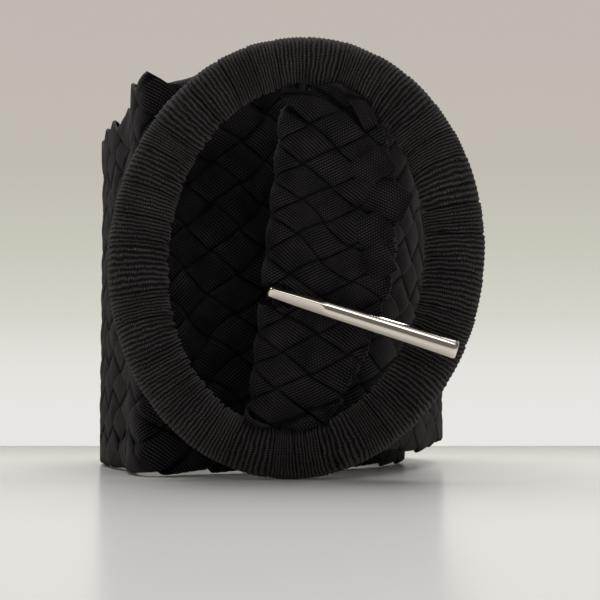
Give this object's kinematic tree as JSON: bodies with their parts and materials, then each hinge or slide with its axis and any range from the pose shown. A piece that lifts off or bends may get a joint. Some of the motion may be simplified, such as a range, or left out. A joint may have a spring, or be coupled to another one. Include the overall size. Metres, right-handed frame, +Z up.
{
  "type": "elastic stretch belt",
  "caption": "Wide plaited elastic belt standing coiled, its end folded round the bar of a large oval wound buckle ring with a hinged metal prong.",
  "frame": {"origin": "middle of the coiled belt's footprint, on the surface that it stands on", "axes": "+Z up, +Y from the buckle towards the back of the coil, +X to the right as the buckle faces the viewer"},
  "size_m": [0.1004, 0.1456, 0.1018],
  "materials": {
    "plaited_elastic": "matte ribbed black elastic",
    "wound_elastic": "matte knitted black elastic",
    "bar_steel": "plain dull steel",
    "polished_nickel": "polished nickel"
  },
  "bodies": {
    "belt": {"belt_band": "plaited_elastic", "buckle_ring": "wound_elastic", "centre_bar": "bar_steel"},
    "prong": {"prong": "polished_nickel"}
  },
  "joints": [
    {"name": "prong_swing", "type": "hinge", "parent": "belt", "child": "prong", "pos_m": [0.00423, -0.06474, 0.0512], "axis": [-0.1045, 0, -0.9945], "range_deg": [0, 110]}
  ]
}
